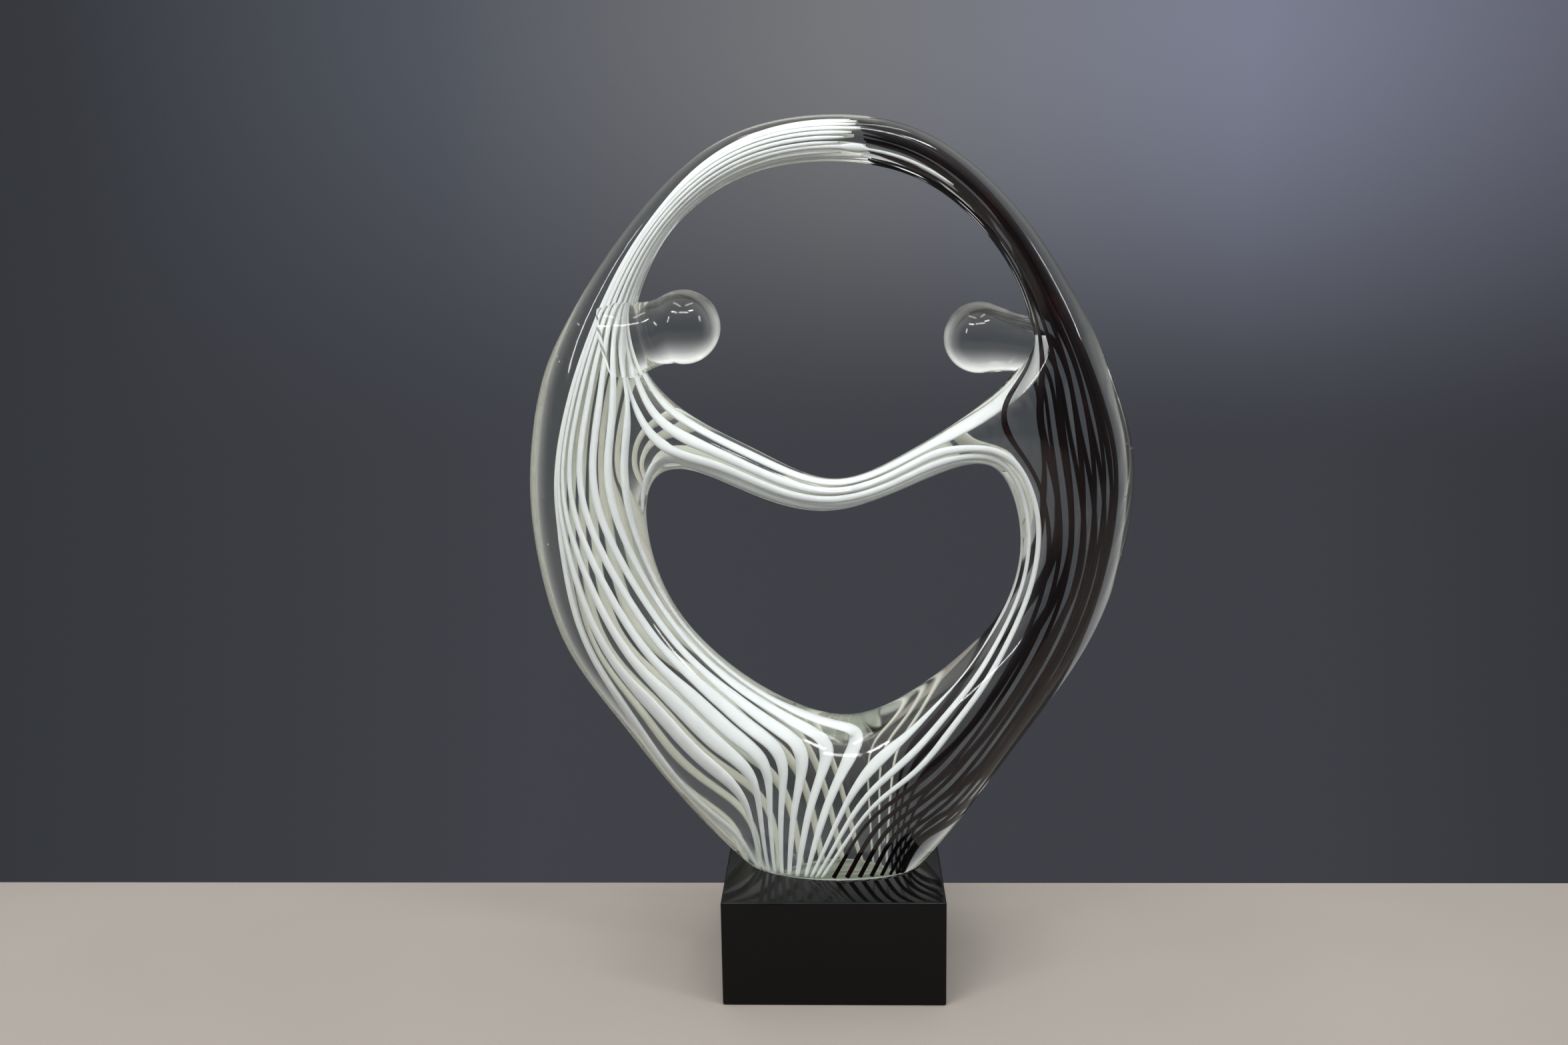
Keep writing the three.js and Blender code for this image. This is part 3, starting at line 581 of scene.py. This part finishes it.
def even_track(route):
    """The route and its layer middles as evenly spaced points, with the kinks taken out."""
    points, middles = [r[0] for r in route], [r[1] for r in route]
    count = FINE_STEPS * (len(route) - 1)
    shares = [i / count for i in range(count + 1)]
    rows = np.array([[*curve_point(points, t), *curve_point(middles, t)] for t in shares])
    hops = np.linalg.norm(np.diff(rows[:, :3], axis=0), axis=1)
    lengths = np.concatenate([[0], np.cumsum(hops)])
    steps = max(round(lengths[-1] / SPACING), FEWEST_STEPS)
    even = np.linspace(0, lengths[-1], steps + 1)
    rows = np.stack([np.interp(even, lengths, column) for column in rows.T], axis=1)
    for _ in range(SMOOTHING):
        rows[1:-1] = (rows[:-2] + 2 * rows[1:-1] + rows[2:]) / 4
    return [Vector(r[:3]) for r in rows], [Vector(r[3:]) for r in rows]


CANE_SIDES = 10
CANE_NARROWEST, CANE_WIDEST = 0.9, 7
FLATNESS, THICKEST = 0.7, 2.4
# Clear glass between neighbouring canes, and how much thinner it gets between the white ones near the seam
WALL, THINNER = 0.5, 0.1
# Over this length a cane tapers to this share of its width at its upper end
TIP, TIP_SHARE = 9, 0.45


def cane_mesh(points, middles, widths):
    """A closed tube of flattened ovals along the points, each oval's short way turned to the layer's middle."""
    bm = bmesh.new()
    rows = []
    last = len(points) - 1
    for i, (point, middle, width) in enumerate(zip(points, middles, widths)):
        tangent = (points[min(i + 1, last)] - points[max(i - 1, 0)]).normalized()
        out = point - middle
        out = (out - tangent * out.dot(tangent)).normalized()
        across = tangent.cross(out)
        half = width / 2 * MM
        thick = min(half * FLATNESS, THICKEST / 2 * MM)
        rows.append(oval(bm, point * MM, across * half, out * thick, CANE_SIDES))
    for first, second in zip(rows, rows[1:]):
        bridge(bm, first, second)
    bmesh.ops.contextual_create(bm, geom=edges_of(rows[0]))
    bmesh.ops.contextual_create(bm, geom=edges_of(rows[-1]))
    bmesh.ops.recalc_face_normals(bm, faces=bm.faces)
    return bm


def rise(x, low, high):
    """From 0 at low to 1 at high."""
    return np.interp(x, [low, high], [0, 1])


def hump(x, middle, spread):
    return np.exp(-(((x - middle) / spread) ** 2))


def is_crest(name):
    return name.startswith("bridge") and name.endswith("4")


def fill_along(name, along):
    """How much of the room to the next cane a cane takes up, from its foot at 0 to its end at 1."""
    front = "front" in name
    if name.startswith("bridge"):
        low = 0.42 if front else 0.05
        fill = np.interp(along, [0, 0.3, 0.42, 0.6, 0.7, 1], [low, low, 0.72, 0.72, 0.5, 0.6])
        if name == "bridge_front_cane_3":
            fill += 0.25 * hump(along, 0.14, 0.04) - 0.4 * hump(along, 0.29, 0.07)
        if is_crest(name):
            fill = np.interp(along, [0, 0.3, 0.5, 0.75, 1], [1.1, 1.1, 0.72, 0.5, 0.6])
        if front:
            fill += 0.25 * rise(along, 0.7, 0.78) - 0.2 * rise(along, 0.82, 0.92)
        return fill
    if name.startswith("dark"):
        return 0.36 + 0 * along if front else np.interp(along, [0, 0.4], [0.25, 0.36])
    if front:
        return 0.5 + 0.5 * hump(along, 0.2, 0.06) + 0.5 * rise(along, 0.65, 0.85)
    return np.interp(along, [0, 0.2, 0.4, 0.7, 0.85, 1], [0.25, 0.4, 0.56, 0.66, 0.9, 1])


def widths_along(name, own, rooms):
    """The cane's width at each of its points, from the room it has there."""
    along = np.linspace(0, 1, len(own))
    # White canes lie nearly edge to edge where they run up to the seam
    wall = WALL - THINNER * rise(along, 0.75, 0.85) * name.startswith("white")
    widths = np.minimum(fill_along(name, along) * rooms + 0.4, rooms - wall)
    widths = np.clip(widths, CANE_NARROWEST, CANE_WIDEST)
    if is_crest(name):
        widths = np.maximum(widths, np.interp(along, [0, 0.1, 0.16, 0.3], [6, 6.5, 6, 3]))
    to_end = np.linalg.norm(own - own[-1], axis=1)
    return widths * (TIP_SHARE + (1 - TIP_SHARE) * np.minimum(to_end / TIP, 1))


def make_canes():
    tracks = {}
    for side, face in FACES:
        for name, route in (*limb_canes(side, face), *bridge_canes(side, face)):
            tracks[name] = even_track(route)
    for name, (points, middles) in tracks.items():
        own = np.array(points)
        # The crest cane's width takes no heed of the dark cane that crosses in front of it
        apart = {name}
        if is_crest(name):
            apart.add(name.replace("bridge", "dark").replace("_4", "_8"))
        others = [np.array(track[0]) for other, track in tracks.items() if other not in apart]
        gaps = own[:, None] - np.concatenate(others)[None]
        rooms = np.sqrt((gaps**2).sum(2)).min(1)
        # The tip has as much room as the place where it starts
        rooms[-3:] = rooms[-4]
        cane = new_object("glass_" + name, cane_mesh(points, middles, widths_along(name, own, rooms)))
        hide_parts(name)
        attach(cane, "root")
        yield cane


# ---------------------------------------------------------------- materials


def material(name):
    m = bpy.data.materials.new(name)
    m.use_nodes = True
    nodes = m.node_tree.nodes
    links = m.node_tree.links
    return m, nodes, links, nodes["Principled BSDF"]


def object_noise(nodes, links, scale, detail):
    place = nodes.new("ShaderNodeTexCoord")
    noise = nodes.new("ShaderNodeTexNoise")
    noise.inputs["Scale"].default_value = scale
    noise.inputs["Detail"].default_value = detail
    links.new(place.outputs["Object"], noise.inputs["Vector"])
    return noise.outputs["Fac"]


def ramp(nodes, links, source, stops):
    node = nodes.new("ShaderNodeValToRGB")
    elements = node.color_ramp.elements
    elements[0].position, elements[0].color = stops[0][0], (*stops[0][1], 1)
    elements[1].position, elements[1].color = stops[-1][0], (*stops[-1][1], 1)
    for position, colour in stops[1:-1]:
        elements.new(position).color = (*colour, 1)
    links.new(source, node.inputs["Fac"])
    return node.outputs["Color"]


def map_range(nodes, links, source, low, high, to_low=0, to_high=1, kind="LINEAR"):
    node = nodes.new("ShaderNodeMapRange")
    node.interpolation_type = kind
    node.inputs["From Min"].default_value = low
    node.inputs["From Max"].default_value = high
    node.inputs["To Min"].default_value = to_low
    node.inputs["To Max"].default_value = to_high
    links.new(source, node.inputs["Value"])
    return node.outputs["Result"]


def mix_colours(nodes, links, first, second, kind="MIX", share=None):
    """The two colours mixed; the share is another node's value, or 1 when it isn't given."""
    node = nodes.new("ShaderNodeMix")
    node.data_type = "RGBA"
    node.blend_type = kind
    node.inputs["Factor"].default_value = 1
    if share is not None:
        links.new(share, node.inputs["Factor"])
    links.new(first, node.inputs["A"])
    links.new(second, node.inputs["B"])
    return node.outputs["Result"]


def mix_shaders(nodes, links, share, first, second):
    node = nodes.new("ShaderNodeMixShader")
    links.new(share, node.inputs["Fac"])
    links.new(first, node.inputs[1])
    links.new(second, node.inputs[2])
    return node.outputs[0]


def axes(nodes, links, output):
    """The X, Y and Z of a texture coordinate."""
    place = nodes.new("ShaderNodeTexCoord")
    parts = nodes.new("ShaderNodeSeparateXYZ")
    links.new(place.outputs[output], parts.inputs["Vector"])
    return parts.outputs


def clear_glass():
    """Clear glass with a faint green in its depth; light from the lamps reaches the canes through it."""
    m, nodes, links, shader = material("clear_fire_polished_glass")
    shader.inputs["Base Color"].default_value = (0.985, 0.995, 0.98, 1)
    shader.inputs["Roughness"].default_value = 0.08
    shader.inputs["IOR"].default_value = 1.5
    shader.inputs["Transmission Weight"].default_value = 1
    bump = nodes.new("ShaderNodeBump")
    bump.inputs["Strength"].default_value = 0.12
    bump.inputs["Distance"].default_value = 0.002
    links.new(object_noise(nodes, links, 22, 1), bump.inputs["Height"])
    links.new(bump.outputs["Normal"], shader.inputs["Normal"])
    lamps = nodes.new("ShaderNodeLightPath")
    see_through = nodes.new("ShaderNodeBsdfTransparent")
    see_through.inputs["Color"].default_value = (0.93, 0.95, 0.92, 1)
    mixed = mix_shaders(
        nodes, links, lamps.outputs["Is Shadow Ray"], shader.outputs["BSDF"], see_through.outputs["BSDF"]
    )
    out = nodes["Material Output"]
    links.new(mixed, out.inputs["Surface"])
    tint = nodes.new("ShaderNodeVolumeAbsorption")
    tint.inputs["Color"].default_value = (0.80, 0.86, 0.55, 1)
    tint.inputs["Density"].default_value = 1.8
    links.new(tint.outputs["Volume"], out.inputs["Volume"])
    return m


def cane_glass(name):
    """A cane's own glass: it has no shine, because clear glass lies all round it."""
    m, nodes, links, shader = material(name)
    shader.inputs["Roughness"].default_value = 0.6
    shader.inputs["Specular IOR Level"].default_value = 0
    return m, nodes, links, shader


def white_cane():
    """Opal white, with a cream tint on the canes at the back."""
    m, nodes, links, shader = cane_glass("opal_white_cane")
    noise = object_noise(nodes, links, 140, 3)
    cool = ramp(nodes, links, noise, [(0.3, (0.655, 0.68, 0.705)), (0.7, (0.7, 0.72, 0.735))])
    cream = ramp(nodes, links, noise, [(0.3, (0.75, 0.75, 0.685)), (0.7, (0.8, 0.8, 0.735))])
    behind = map_range(nodes, links, axes(nodes, links, "Object")["Y"], -0.002, 0.004)
    tint = mix_colours(nodes, links, cool, cream, share=behind)
    links.new(tint, shader.inputs["Base Color"])
    return m


def dark_cane():
    m, nodes, links, shader = cane_glass("dark_amethyst_cane")
    colour = ramp(
        nodes,
        links,
        object_noise(nodes, links, 60, 3),
        [(0.4, (0.003, 0.002, 0.0023)), (0.62, (0.006, 0.002, 0.0026)), (0.8, (0.022, 0.005, 0.005))],
    )
    links.new(colour, shader.inputs["Base Color"])
    return m


def black_block():
    m, nodes, links, shader = material("polished_black_block")
    shader.inputs["Base Color"].default_value = (0.0025, 0.0025, 0.0027, 1)
    shader.inputs["Specular IOR Level"].default_value = 0.18
    noise = object_noise(nodes, links, 35, 4)
    rough = ramp(nodes, links, noise, [(0.3, (0.05, 0.05, 0.05)), (0.75, (0.12, 0.12, 0.12))])
    links.new(rough, shader.inputs["Roughness"])
    return m


def pale_floor():
    m, nodes, links, shader = material("pale_floor")
    noise = object_noise(nodes, links, 6, 2)
    colour = ramp(nodes, links, noise, [(0.2, (0.39, 0.35, 0.315)), (0.8, (0.43, 0.385, 0.345))])
    links.new(colour, shader.inputs["Base Color"])
    shader.inputs["Roughness"].default_value = 0.75
    return m


# ---------------------------------------------------------------- pieces

glass = clear_glass()
body = fused(glass_body(), [head(*shape) for shape in HEADS.values()])
body.data.materials.clear()
body.data.materials.append(glass)
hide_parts("glass_form", *HEADS)
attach(body, "root")

white, dark = white_cane(), dark_cane()
for cane in make_canes():
    is_dark = "dark" in cane.name
    cane.data.materials.append(dark if is_dark else white)


# Seed bubbles: how many, the number that starts their random draws, the two stretches of the ring that have
# them, how deep they lie in the clear margin, how far to the front and back, and their radius
BUBBLES, BUBBLE_DRAWS = 34, 5
BUBBLES_RIGHT, BUBBLES_LEFT = (2.5, 7.5), (14.5, 21)
BUBBLE_INWARD, BUBBLE_BACK, BUBBLE_RADIUS = (0.3, 0.72), (-0.7, 0.7), (0.22, 0.5)


def seed_bubbles():
    """Small round bubbles in the clear glass outside the canes."""
    dice = random.Random(BUBBLE_DRAWS)
    bm = bmesh.new()
    for _ in range(BUBBLES):
        place = dice.choice((dice.uniform(*BUBBLES_RIGHT), dice.uniform(*BUBBLES_LEFT)))
        outward = flat(blend(ring_across, place))
        half = outward.length
        outward.normalize()
        in_from_edge = blend(ring_clear, place) * dice.uniform(*BUBBLE_INWARD)
        open_depth = blend(ring_depth, place) * math.sqrt(1 - (1 - in_from_edge / half) ** 2)
        middle = flat(blend(ring_middle, place)) + outward * (half - in_from_edge)
        middle.y = open_depth * dice.uniform(*BUBBLE_BACK)
        radius = dice.uniform(*BUBBLE_RADIUS) * MM
        bmesh.ops.create_icosphere(bm, subdivisions=2, radius=radius, matrix=Matrix.Translation(middle * MM))
    return new_object("seed_bubbles", bm)


def bubble_gas():
    """The inside of a bubble: its index is air's divided by the glass's."""
    m, nodes, links, shader = material("bubble_gas")
    shader.inputs["Roughness"].default_value = 0.0
    shader.inputs["IOR"].default_value = 0.667
    shader.inputs["Transmission Weight"].default_value = 1
    return m


seeds = seed_bubbles()
seeds.data.materials.append(bubble_gas())
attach(seeds, "root")


BLOCK_ROUNDING = 1


def block():
    """The block, with its edges rounded."""
    bm = bmesh.new()
    low, high = Vector(BLOCK_LOW), Vector(BLOCK_HIGH)
    size = high - low
    matrix = Matrix.Translation((low + high) / 2) @ Matrix.Diagonal((*size, 1))
    bmesh.ops.create_cube(bm, size=1, matrix=matrix)
    bmesh.ops.bevel(
        bm,
        geom=bm.edges[:],
        offset=BLOCK_ROUNDING * MM,
        offset_type="OFFSET",
        segments=3,
        profile=0.5,
        affect="EDGES",
        material=-1,
    )
    return new_object("bevelled_block", bm)


base = block()
base.data.set_sharp_from_angle(angle=math.radians(BLOCK_CORNER))
base.data.materials.append(black_block())
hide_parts("block")
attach(base, "root")

# ---------------------------------------------------------------- stage, light and camera

# From here on, sizes are in metres
FLOOR_FRONT, FLOOR_BACK, FLOOR_SIDE, FLOOR_THICK = -1.8, 0.082, 1.8, 0.03
bm = bmesh.new()
size = Matrix.Diagonal((2 * FLOOR_SIDE, FLOOR_BACK - FLOOR_FRONT, FLOOR_THICK, 1))
place = Matrix.Translation((0, (FLOOR_BACK + FLOOR_FRONT) / 2, -FLOOR_THICK / 2))
bmesh.ops.create_cube(bm, size=1, matrix=place @ size)
floor = new_object("floor", bm, smooth=False)
floor.data.materials.append(pale_floor())

# Lights: place, width and height, power and colour; all face the same point
AIM = Vector((0, 0, 0.22))
DAYLIGHT = {
    "window_left": ((-0.75, -0.95, 0.95), (0.9, 0.6), 6.3, (1, 0.99, 0.97)),
    "window_right": ((0.95, -0.6, 0.8), (0.4, 0.5), 2.5, (0.97, 0.98, 1)),
    "soft_top": ((0, 0.1, 1.3), (0.8, 0.8), 0.6, (1, 1, 1)),
}
TUBES = [
    ((0.05, -0.75, 1.15), (0.55, 0.08), 2),
    ((-0.42, -0.6, 1.05), (0.3, 0.06), 1.4),
    ((0.4, -0.5, 1.15), (0.25, 0.06), 1.2),
    ((-0.3, -0.25, 1.35), (0.5, 0.08), 0.9),
    ((0.25, -0.2, 1.4), (0.5, 0.08), 0.9),
    ((-0.8, -0.75, 0.75), (0.06, 0.3), 1.1),
    ((0.85, -0.5, 0.75), (0.06, 0.3), 1),
]


def area_light(name, place, size, power, colour=(1, 1, 1)):
    data = bpy.data.lights.new(name, "AREA")
    data.shape = "RECTANGLE"
    data.size, data.size_y = size
    data.energy = power
    data.color = colour
    obj = bpy.data.objects.new(name, data)
    obj.location = place
    obj.rotation_euler = (AIM - Vector(place)).to_track_quat("-Z", "Y").to_euler()
    bpy.context.scene.collection.objects.link(obj)
    return obj


for name, values in DAYLIGHT.items():
    # The large soft lights aren't seen in or through the glass, because they would show hard edges there
    light = area_light(name, *values)
    light.visible_transmission = light.visible_glossy = False
for number, values in enumerate(TUBES):
    area_light(f"tube_lamp_{number + 1}", *values)

# The room all round, as shades from the front of the room, 0, to the wall behind the piece, 1
ROOM_SHADES = [
    (0.0, (0.1, 0.1, 0.1)),
    (0.3, (0.2, 0.2, 0.2)),
    (0.55, (0.6, 0.6, 0.6)),
    (0.76, (0.5, 0.51, 0.5)),
    (0.88, (0.16, 0.16, 0.17)),
    (0.95, (0.06, 0.065, 0.075)),
]
SOFT_LIGHT = (0.36, 0.365, 0.38, 1)

# The wall as the camera sees it, from left to right: its colour, darker towards both sides, and the light that falls
# on it high up
WALL_TONES_ACROSS = [
    (0.0, (0.036, 0.039, 0.046)),
    (0.3, (0.052, 0.055, 0.066)),
    (0.8, (0.048, 0.05, 0.06)),
    (1.0, (0.032, 0.033, 0.04)),
]
WALL_GLOW = [
    (0.05, (0, 0, 0)),
    (0.25, (0.035, 0.04, 0.05)),
    (0.5, (0.13, 0.13, 0.13)),
    (0.75, (0.15, 0.16, 0.22)),
    (1.0, (0.05, 0.05, 0.07)),
]

world = bpy.data.worlds.new("room")
bpy.context.scene.world = world
world.use_nodes = True
nodes, links = world.node_tree.nodes, world.node_tree.links
path = nodes.new("ShaderNodeLightPath")
way = axes(nodes, links, "Generated")


def background(colour):
    """A background of a colour, or of another node's colour."""
    node = nodes.new("ShaderNodeBackground")
    if isinstance(colour, tuple):
        node.inputs["Color"].default_value = colour
    else:
        links.new(colour, node.inputs["Color"])
    return node.outputs[0]


# A bright room on all sides as the glass shows it, darker low down and lit from above, and even light for the rest
shades = ramp(nodes, links, map_range(nodes, links, way["Y"], -1, 1), ROOM_SHADES)
low_down = map_range(nodes, links, way["Z"], -0.75, -0.1, to_low=0.15, kind="SMOOTHSTEP")
overhead = map_range(nodes, links, way["Z"], 0.1, 0.85, to_high=0.7, kind="SMOOTHSTEP")
shades = mix_colours(nodes, links, shades, low_down, "MULTIPLY")
shades = mix_colours(nodes, links, shades, overhead, "ADD")
is_diffuse = path.outputs["Is Diffuse Ray"]
room = mix_shaders(nodes, links, is_diffuse, background(shades), background(SOFT_LIGHT))

sideways = map_range(nodes, links, way["X"], -0.5, 0.5)
high_up = map_range(nodes, links, way["Z"], -0.14, 0.13, kind="SMOOTHSTEP")
# The wall's colour across the frame, darker towards both sides
wall_tones = ramp(nodes, links, sideways, WALL_TONES_ACROSS)
glow = ramp(nodes, links, sideways, WALL_GLOW)
wall = background(mix_colours(nodes, links, wall_tones, glow, "ADD", share=high_up))
seen = mix_shaders(nodes, links, path.outputs["Is Camera Ray"], room, wall)
links.new(seen, nodes["World Output"].inputs["Surface"])

# The camera of the photograph: a 35 mm lens at a seated person's eye level
SENSOR, LENS = 36, 35
CAMERA_PLACE = (0.0054, -0.6803, 0.3378)
YAW, TILT, ROLL = (math.radians(a) for a in (-2.23, 10.58, -0.89))
camera_data = bpy.data.cameras.new("camera")
camera_data.sensor_width = SENSOR
camera_data.lens = LENS
camera = bpy.data.objects.new("camera", camera_data)
forward = Vector((math.sin(YAW) * math.cos(TILT), math.cos(YAW) * math.cos(TILT), -math.sin(TILT)))
right = forward.cross(Vector((0, 0, 1))).normalized()
up = right.cross(forward)
right, up = (
    right * math.cos(ROLL) + up * math.sin(ROLL),
    up * math.cos(ROLL) - right * math.sin(ROLL),
)
turn = Matrix((right, up, -forward)).transposed().to_4x4()
camera.matrix_world = Matrix.Translation(CAMERA_PLACE) @ turn
bpy.context.scene.collection.objects.link(camera)
bpy.context.scene.camera = camera
bpy.context.scene.view_settings.view_transform = "Standard"
